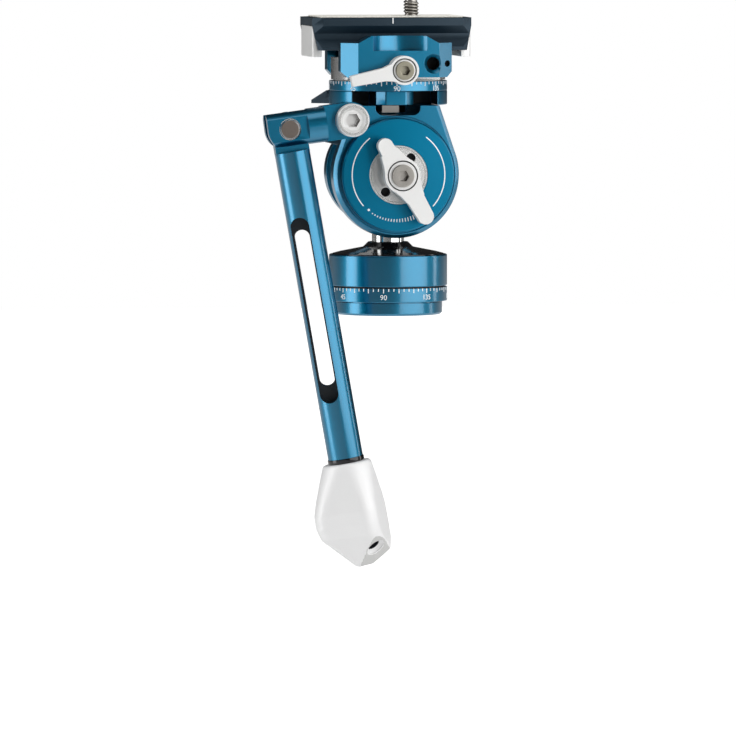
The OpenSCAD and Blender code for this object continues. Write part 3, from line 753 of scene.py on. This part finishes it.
def dressed(obj, surface, chosen):
    """Gives a second finish to the faces of a piece that a test on their middle and normal picks, in mm."""
    obj.data.materials.append(surface)
    last = len(obj.data.materials) - 1
    for face in obj.data.polygons:
        if chosen(face.center / MM, face.normal):
            face.material_index = last
    return obj


def axis_of(joint):
    """Place of a joint in millimetres."""
    return Vector(next(j for j in RECORD["behaviour"]["joints"] if j["name"] == joint)["pos_m"]) / MM


def in_bore(x, z, radius, front):
    """Test for the walls and the floor of a bore along Y that opens to the front."""
    slack, floor = 0.02, 0.95
    return lambda middle, normal: (math.hypot(middle.x - x, middle.z - z) < radius + slack
                                   and middle.y > front and not ACROSS < abs(normal.y) < floor)


class HEAD_OT_stage(bpy.types.Operator):
    """Floor, soft lights and the camera"""
    bl_idname = "head.stage"
    bl_label = "Stage"

    def execute(self, context):
        scene, stage = context.scene, context.scene.head_stage
        scene.view_settings.view_transform = "Standard"
        a, e = stage.azimuth, stage.elevation
        ahead = Vector((-math.sin(a) * math.cos(e), math.cos(a) * math.cos(e), -math.sin(e)))
        right = Vector((math.cos(a), math.sin(a), 0))
        target = right * stage.across + Vector((0, 0, stage.up))
        lens = bpy.data.cameras.new("camera")
        lens.sensor_width = 36
        lens.lens = lens.sensor_width * stage.reach / stage.width
        lens.clip_end = 50
        camera = in_scene("camera", lens)
        camera.location = target - ahead * stage.reach
        camera.rotation_euler = ahead.to_track_quat("-Z", "Y").to_euler()
        scene.camera = camera
        self.floor(stage.floor)
        self.world(scene)
        front = Vector((ahead.x, ahead.y, 0)).normalized()
        for name, (turn, rise, far, size, power) in LAMPS.items():
            t, r = math.radians(turn), math.radians(rise)
            way = (-front * math.cos(t) + right * math.sin(t)) * math.cos(r) + Vector((0, 0, math.sin(r)))
            data = bpy.data.lights.new(name, "AREA")
            data.shape, (data.size, data.size_y), data.energy = "RECTANGLE", size, power
            lamp = in_scene(name, data)
            lamp.location = Vector(LAMP_TARGET) + way * far
            lamp.rotation_euler = (-way).to_track_quat("-Z", "Y").to_euler()
            lamp.visible_camera = False
        return {"FINISHED"}

    @staticmethod
    def floor(height):
        """White floor that takes the shadow."""
        mesh = bpy.data.meshes.new("floor")
        r = FLOOR_REACH
        corners = [(-r, -r, height), (r, -r, height), (r, r, height), (-r, r, height)]
        mesh.from_pydata(corners, [], [(0, 1, 2, 3)])
        floor = in_scene("floor", mesh)
        material = bpy.data.materials.new("pale floor")
        material.use_nodes = True
        wire = Wiring(material.node_tree)
        nodes = material.node_tree.nodes
        nodes.remove(nodes["Principled BSDF"])
        lit = wire.node("ShaderNodeBsdfDiffuse")
        lit.inputs["Color"].default_value = FLOOR_COLOUR
        glow = wire.node("ShaderNodeEmission")
        path = wire.node("ShaderNodeLightPath")
        seen = wire.maths("MAXIMUM", path.outputs["Is Camera Ray"], path.outputs["Is Transmission Ray"])
        seen = wire.maths("MULTIPLY", seen, FLOOR_SEEN)
        mirror = wire.maths("MULTIPLY", path.outputs["Is Glossy Ray"], FLOOR_MIRRORED)
        wire.join(wire.maths("ADD", seen, mirror), glow.inputs["Strength"])
        both = wire.node("ShaderNodeAddShader")
        wire.join(lit.outputs[0], both.inputs[0])
        wire.join(glow.outputs[0], both.inputs[1])
        wire.join(both.outputs[0], nodes["Material Output"].inputs["Surface"])
        mesh.materials.append(material)

    @staticmethod
    def world(scene):
        """White behind the part, and a dim room in its polished faces."""
        world = bpy.data.worlds.new("studio")
        world.use_nodes = True
        scene.world = world
        wire = Wiring(world.node_tree)
        ground = world.node_tree.nodes["Background"]
        ground.inputs["Color"].default_value = (1, 1, 1, 1)
        path = wire.node("ShaderNodeLightPath")
        direct = wire.maths("MAXIMUM", path.outputs["Is Camera Ray"], path.outputs["Is Transmission Ray"])
        way = wire.node("ShaderNodeSeparateXYZ")
        wire.join(wire.node("ShaderNodeTexCoord").outputs["Generated"], way.inputs[0])
        room = wire.maths("ADD", wire.maths("MULTIPLY", way.outputs[1], ROOM_FRONT), ROOM_MIRRORED)
        mirror = wire.maths("MULTIPLY", path.outputs["Is Glossy Ray"], room)
        dull = wire.maths("SUBTRACT", 1.0, path.outputs["Is Glossy Ray"])
        spread = wire.maths("MULTIPLY", dull, ROOM_SPREAD)
        wire.join(wire.maths("MAXIMUM", direct, wire.maths("ADD", mirror, spread)), ground.inputs["Strength"])


class HEAD_OT_solids(bpy.types.Operator):
    """Finishes of the solids that show as they are"""
    bl_idname = "head.solids"
    bl_label = "Solids"

    def execute(self, context):
        for node, obj in frame["nodes"].items():
            surface, slots = SLOT_FINISH[NODE_SLOT[node]](), obj.data.materials
            for i in range(len(slots)):
                slots[i] = surface
            if not slots:
                slots.append(surface)
        return {"FINISHED"}


class HEAD_OT_base(bpy.types.Operator):
    """Turned base, pan ring, collar cap, ball and the pan lock"""
    bl_idname = "head.base"
    bl_label = "Base"

    def execute(self, context):
        wide = sizes().ring_radius / MM
        turned = blue(ALONG_Z)
        step, top, seat, bush, hub, hub_top = 5, 11.2, 18, 7, 12, 17.85
        flange = lathe("base_flange_finished", [
            (bush, 0), (wide - 2.8, 0, 0.3), (wide - 2, 0.8, 0.3), (wide - 2, step), (seat, step),
            (seat, top), (hub, top), (hub, hub_top), (ON_AXIS, hub_top), (ON_AXIS, 12), (bush, 12)])
        settle(flange, "base_flange", turned)
        ring = lathe("base_scale_ring_finished", [
            (seat, step), (wide - 3.5, step), (wide - 3.5, step + 0.5), (wide, step + 0.5, 0.3),
            (wide, top, 0.3), (seat, top)])
        settle(ring, "base_scale_ring", turned)
        low, floor, high, bore, well, stem = 11.75, 17.3, 24.4, 12.05, 15.6, 6.5
        pan = lathe("pan_ring_finished", [
            (bore, low), (wide, low, 0.35), (wide, high, 0.6), (well, high), (well, floor), (bore, floor)])
        cut(pan, rod("pan_screw_bore", 2.25, "Y", 0, 40, (0, 14.5)))
        settle(pan, "pan_ring", turned)
        cap_top = 29.4
        cap = lathe("collar_cap_finished", [
            (stem, high), (22.6, high), (22.6, 24.7, 0.2), (19.5, 25.5, 1), (10.3, 27.3, 0.8),
            (9.9, 27.6, 0.3), (8.1, cap_top, 0.4), (stem, cap_top)])
        settle(cap, "collar_cap", black_gloss(), sharp=40)
        first, steps = math.asin(stem / BALL_RADIUS), 40
        turns = [first + k * (math.pi - first) / steps for k in range(steps)]
        arc = [(BALL_RADIUS * math.sin(a), TILT_Z - BALL_RADIUS * math.cos(a)) for a in turns]
        foot = 20.8
        ball = lathe("ball_stem_finished", [
            (ON_AXIS, foot), (well, foot), (well, high), (stem, high), *arc, (ON_AXIS, TILT_Z + BALL_RADIUS)])
        settle(ball, "ball_stem", polished())
        softened("pan_lock_lever", sizes().cast_edge / MM, 3)
        softened("pan_lock_screw", 0.2)
        return {"FINISHED"}


class HEAD_OT_scales(bpy.types.Operator):
    """Marks and numbers of the two pan scales"""
    bl_idname = "head.scales"
    bl_label = "Scales"

    def execute(self, context):
        scale("base_scale", "base_scale_ring", top=11.1, front=-14, first=90, drop=3.6)
        scale("top_scale", "top_scale_ring", top=94.9, front=-1, first=90, drop=2.9)
        return {"FINISHED"}


class HEAD_OT_housing(bpy.types.Operator):
    """Tilt housing, the drum inside it and the rear plate"""
    bl_idname = "head.housing"
    bl_label = "Housing"

    def execute(self, context):
        softened("housing", 0.5, 3)
        softened("rear_plate", 0.5, 3)
        softened("rear_plate_screws", 0.2)
        for node in ("front_cup", "rear_cup"):
            softened(node, 0.4, surface=polished())
        return {"FINISHED"}


def on_dial(obj):
    """Lays a piece drawn round the Z axis on the front of the lock dial."""
    obj.data.transform(Matrix.Translation((0, 0, TILT_Z)) @ Matrix.Rotation(math.pi / 2, 4, "X"))
    return obj


def arc_band(name, radius, width, first, last, low, high):
    """Printed band round the Z axis, between two angles in degrees."""
    steps = max(8, int(abs(last - first) / 2))
    sections = []
    for k in range(steps + 1):
        a = math.radians(first + (last - first) * k / steps)
        inner, outer = radius - width / 2, radius + width / 2
        sections.append([(r * math.cos(a), r * math.sin(a), h)
                         for r, h in ((inner, low), (outer, low), (outer, high), (inner, high))])
    return loft(name, sections)


class HEAD_OT_dials(bpy.types.Operator):
    """Lock dial with its print, hub and rear dial"""
    bl_idname = "head.dials"
    bl_label = "Dials"

    def execute(self, context):
        wide = sizes().dial_radius / MM
        turned = blue(ALONG_TILT, coat=0.15)
        bore, back, rim, face = 12, -21, -25.18, -25.3
        dial = lathe("lock_dial_finished", [
            (bore, back), (wide, back), (wide, -24.7, 0.15), (wide - 0.5, rim, 0.15), (bore + 0.5, face),
            (bore, face)], "Y", (0, TILT_Z))
        settle(dial, "lock_dial", turned)
        hub = softened("dial_hub", 0.45, 3, surface=bright())
        # Painted highlight: the bevel round the hub's rim gets the lighter silver finish, so that it shows as
        # a bright ring
        dressed(hub, silver(), lambda middle, normal: (math.hypot(middle.x, middle.z - TILT_Z) > bore - 0.5
                                                       and -FACING < normal.y < -0.1))
        reach, hole = 8.6, 1.8
        for a in (math.radians(53), math.radians(233)):
            x, z = reach * math.cos(a), TILT_Z + reach * math.sin(a)
            dressed(hub, shadowed(), in_bore(x, z, hole, front=-24.2))
        bore, front, back = 3.05, 23.3, 29
        rear = lathe("rear_dial_finished", [
            (bore, front), (21.8, front), (21.8, 28.2, 0.3), (21, back, 0.3), (bore, back)], "Y", (0, TILT_Z))
        settle(rear, "rear_dial", turned)
        self.marks(25.22)
        return {"FINISHED"}

    @staticmethod
    def marks(face):
        """Two arcs, a dot and a row of growing marks on the dial's face."""
        lift = sizes().ink / MM
        low, high = face - lift, face + lift
        radius, wide = 19, 0.42
        parts = [arc_band("dial_arc_left", radius, wide, 128, 221, low, high),
                 arc_band("dial_arc_right", radius, wide, 53.5, -42, low, high)]
        a, reach = math.radians(229), 18.6
        spot = (reach * math.cos(a), reach * math.sin(a))
        parts.append(rod("dial_dot", 0.5, "Z", low, high, spot, steps=24))
        parts.append(ring_marks("dial_marks", Count=20, Start=math.radians(235.5), Step=math.radians(3.6),
                                Outer_radius=19.1, Across=sizes().mark_width / MM, Radial=0.5, Growth=0.085,
                                Axial=2 * lift, Height=face))
        carry(on_dial(joined("dial_print", parts)), "lock_dial", ink())


class HEAD_OT_levers(bpy.types.Operator):
    """Cast lock levers with their screws"""
    bl_idname = "head.levers"
    bl_label = "Levers"

    def execute(self, context):
        edge, angle = sizes().cast_edge / MM, 25
        for joint, node, groove, deep, screw, surface in (
                ("ball_lock", "ball_lock_lever", 6.2, 1.8, "ball_lock_screw", steel()),
                ("clamp_lever_turn", "clamp_lever", 4.9, 0.9, "clamp_screw", warm_steel())):
            at, front = axis_of(joint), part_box(node)[0].y / MM
            lever = softened(node, edge, 4, angle)
            dressed(lever, shadowed(), self.between(in_bore(at.x, at.z, groove, front + 0.15), front + deep))
            head, socket = softened(screw, 0.25, surface=surface), front + 1.6
            # Painted shade: the side walls of the screw head and of its socket get the dark pin steel
            dressed(head, pin_steel_and_painted_shade(), lambda middle, normal: abs(normal.y) < ACROSS and middle.y < socket)
        softened("tilt_lock_lever", edge, 4, angle)
        softened("tilt_lock_screw", 0.25)
        softened("top_pan_lock", 0.4, 3, surface=navy(), least=2)
        return {"FINISHED"}

    @staticmethod
    def between(test, back):
        """The same test, only for what lies in front of a depth."""
        return lambda middle, normal: middle.y < back and test(middle, normal)


class HEAD_OT_handle(bpy.types.Operator):
    """Folding handle: arm, bolt, pin, slotted rod and grip"""
    bl_idname = "head.handle"
    bl_label = "Handle"

    def execute(self, context):
        arm = settle(solid_copy("handle_arm", "handle_arm_finished"), "handle_arm", blue(), sharp=14)
        hinge, recess, floor = axis_of("handle_fold"), 4.5, 4.4
        dressed(arm, bright(), lambda middle, normal: (
            math.hypot(middle.x - hinge.x, middle.z - hinge.z) < recess
            and abs(middle.y - hinge.y + floor) < 0.15))
        bolt = softened("handle_bolt", 0.5, 3)
        at = axis_of("handle_angle")
        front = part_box("handle_bolt")[0].y / MM + 0.4
        in_socket = in_bore(at.x, at.z, 3, front)
        # Painted shade: the walls of the bolt's hex socket get the dark pin steel
        dressed(bolt, pin_steel_and_painted_shade(), lambda middle, normal: (in_socket(middle, normal)
                                                           and abs(normal.y) < ACROSS))
        dressed(bolt, bright(), lambda middle, normal: middle.y < front and normal.y < -FACING)
        pin, pin_rim = softened("fold_pin", 0.4, 4, surface=pin_steel_and_painted_shade()), -36
        dressed(pin, bright(), lambda middle, normal: middle.y < pin_rim and normal.y > -FACING)
        bar = softened("handle_rod", 0.35)
        dressed(bar, shadowed(), self.in_pocket(hinge))
        softened("rod_ring", 0.3, surface=black_gloss())
        self.grip()
        return {"FINISHED"}

    @staticmethod
    def in_pocket(hinge):
        """Test for the floor of the long pocket in front of the rod's slot."""
        lean = Matrix.Rotation(math.radians(-170), 3, "Y")
        turn = Matrix.Rotation(math.radians(-11), 3, "Z") @ lean
        floor, slack = 1.5, 0.2
        return lambda middle, normal: (abs((turn @ (middle - hinge)).y + floor) < slack
                                       and (turn @ normal).y < -0.9)

    @staticmethod
    def grip():
        """Grip with its facets smoothed, its threaded hole and its machined end."""
        obj = solid_copy("handle_grip", "handle_grip_finished")
        fine = obj.modifiers.new("fine", "REMESH")
        fine.mode, fine.voxel_size = "VOXEL", 0.42
        even = obj.modifiers.new("even", "SMOOTH")
        even.factor, even.iterations = 0.5, 14
        applied(obj)
        mount = next(m for m in RECORD["mounts"] if m["name"] == "grip_thread")
        way = Vector(mount["axis"])
        mouth = Vector(mount["pos_m"]) / MM + way * mount["dims"]["length_mm"] / 2
        deep, bore, flare, out, axis = -9, 2.6, 3.8, 3, 0.001
        hole = lathe("grip_hole", [
            (axis, deep), (bore, deep), (bore, -1.2), (flare, 0), (flare, out), (axis, out)], steps=64)
        hole.data.transform(Matrix.Translation(mouth) @ way.to_track_quat("Z", "Y").to_matrix().to_4x4())
        cut(obj, hole)
        settle(obj, "handle_grip", white_satin(), sharp=38)
        dressed(obj, machined(), lambda middle, normal: (normal.dot(way) > 0.94
                                                         and (middle - mouth).dot(way) > -0.2))
        dressed(obj, shadowed(), lambda middle, normal: ((middle - mouth).cross(way).length < bore + 0.1
                                                         and deep - 0.2 < (middle - mouth).dot(way) < -1))


class HEAD_OT_clamp(bpy.types.Operator):
    """Turntable and the quick release clamp"""
    bl_idname = "head.clamp"
    bl_label = "Clamp"

    def execute(self, context):
        wide = sizes().ring_radius / MM
        bore, low, high = 12, 91, 95
        ring = lathe("top_scale_ring_finished", [
            (bore, low), (wide, low, 0.3), (wide, high, 0.3), (bore, high)])
        settle(ring, "top_scale_ring", blue(ALONG_Z))
        softened("clamp_body", 0.4, 3, surface=bright())
        softened("rear_jaw", 0.4, 3, least=0.6)
        table = softened("turntable_base", 0.4, 3, least=0.6)
        dressed(table, shadowed(), lambda middle, normal: (abs(middle.x) < 17.4 and -1.2 < middle.y < 0
                                                           and normal.y < -0.9))
        jaw = softened("front_jaw", 0.4, 3)
        for x, z, radius in ((14.3, 102.2, 2.9), (20.6, 102.2, 1.3)):
            dressed(jaw, shadowed(), in_bore(x, z, radius, front=-25))
        softened("rear_jaw_screws", 0.2)
        return {"FINISHED"}


class HEAD_OT_plate(bpy.types.Operator):
    """Camera plate, its pad, end jaws and screw"""
    bl_idname = "head.plate"
    bl_label = "Plate"

    def execute(self, context):
        self.body()
        softened("plate_pad", 0.15)
        for node in ("end_jaw_right", "end_jaw_left"):
            softened(node, 0.5, 3, surface=silver())
        front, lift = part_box("plate")[0].y / MM, 0.05
        mark = block("plate_mark", (-1.4, front - lift, 118.3), (-1.0, front + lift, 120.7))
        carry(mark, "plate", ink())
        self.screw()
        return {"FINISHED"}

    @staticmethod
    def body():
        """The plate, trimmed by a bar of its own section with rounded corners."""
        low, high = (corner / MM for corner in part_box("plate"))
        wide, waist, foot, top = high.y - 0.01, 15.79, low.z + 0.01, high.z - 0.01
        side = [(wide, foot, 0.4), (wide, foot + 1.5, 0.5), (waist, foot + 4.7), (waist, top - 6.4),
                (wide, top - 3.2, 0.5), (wide, top, 0.4)]
        other = [(-point[0], *point[1:]) for point in reversed(side)]
        plate = solid_copy("plate", "plate_finished")
        common(plate, prism("plate_section", side + other, "X", low.x - 1, high.x + 1))
        settle(plate, "plate", navy())

    @staticmethod
    def screw():
        """Camera screw, turned down to its thread's root, and the ridge that climbs round it."""
        low, high = (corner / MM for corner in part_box("camera_screw"))
        foot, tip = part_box("plate_pad")[1].z / MM + 0.2, high.z
        x, y = (low.x + high.x) / 2, (low.y + high.y) / 2
        core = solid_copy("camera_screw", "camera_screw_finished")
        root, clear = 2.5, 5
        cut(core, lathe("thread_root", [
            (root, foot), (clear, foot), (clear, tip + 1), (root, tip + 1)], at=(x, y)))
        soften(core, 0.2)
        settle(core, "camera_screw", steel())
        pitch = sizes().thread_pitch / MM
        length = tip - foot - 1.6
        ridge = grown("camera_screw_thread", thread_tree, Radius=root + 0.05, Ridge=0.62,
                      Turns=length / pitch, Length=length, Finish=steel())
        ridge.data.transform(Matrix.Translation((x, y, foot + 0.75)))
        carry(ridge, "camera_screw", steel())


class HEAD_PT_panel(bpy.types.Panel):
    """Steps that build the head"""
    bl_idname = "HEAD_PT_panel"
    bl_label = "Tripod head"
    bl_space_type = "VIEW_3D"
    bl_region_type = "UI"
    bl_category = "Tripod head"

    def draw(self, context):
        for step in STEPS:
            self.layout.operator(step.bl_idname)
        for group in (context.scene.head_sizes, context.scene.head_colours, context.scene.head_stage):
            box = self.layout.box()
            for name in group.bl_rna.properties.keys():
                if name not in ("rna_type", "name"):
                    box.prop(group, name)


STEPS = (HEAD_OT_stage, HEAD_OT_solids, HEAD_OT_base, HEAD_OT_housing, HEAD_OT_dials, HEAD_OT_levers,
         HEAD_OT_handle, HEAD_OT_clamp, HEAD_OT_plate, HEAD_OT_scales)
CLASSES = (HeadSizes, HeadColours, StageSettings, *STEPS, HEAD_PT_panel)


def register():
    for cls in CLASSES:
        bpy.utils.register_class(cls)
    bpy.types.Scene.head_sizes = PointerProperty(type=HeadSizes)
    bpy.types.Scene.head_colours = PointerProperty(type=HeadColours)
    bpy.types.Scene.head_stage = PointerProperty(type=StageSettings)


def unregister():
    del bpy.types.Scene.head_stage
    del bpy.types.Scene.head_colours
    del bpy.types.Scene.head_sizes
    for cls in reversed(CLASSES):
        bpy.utils.unregister_class(cls)


def main():
    register()
    for step in STEPS:
        group, name = step.bl_idname.split(".")
        getattr(getattr(bpy.ops, group), name)()
    bpy.context.view_layer.update()


if __name__ == "__main__":
    main()
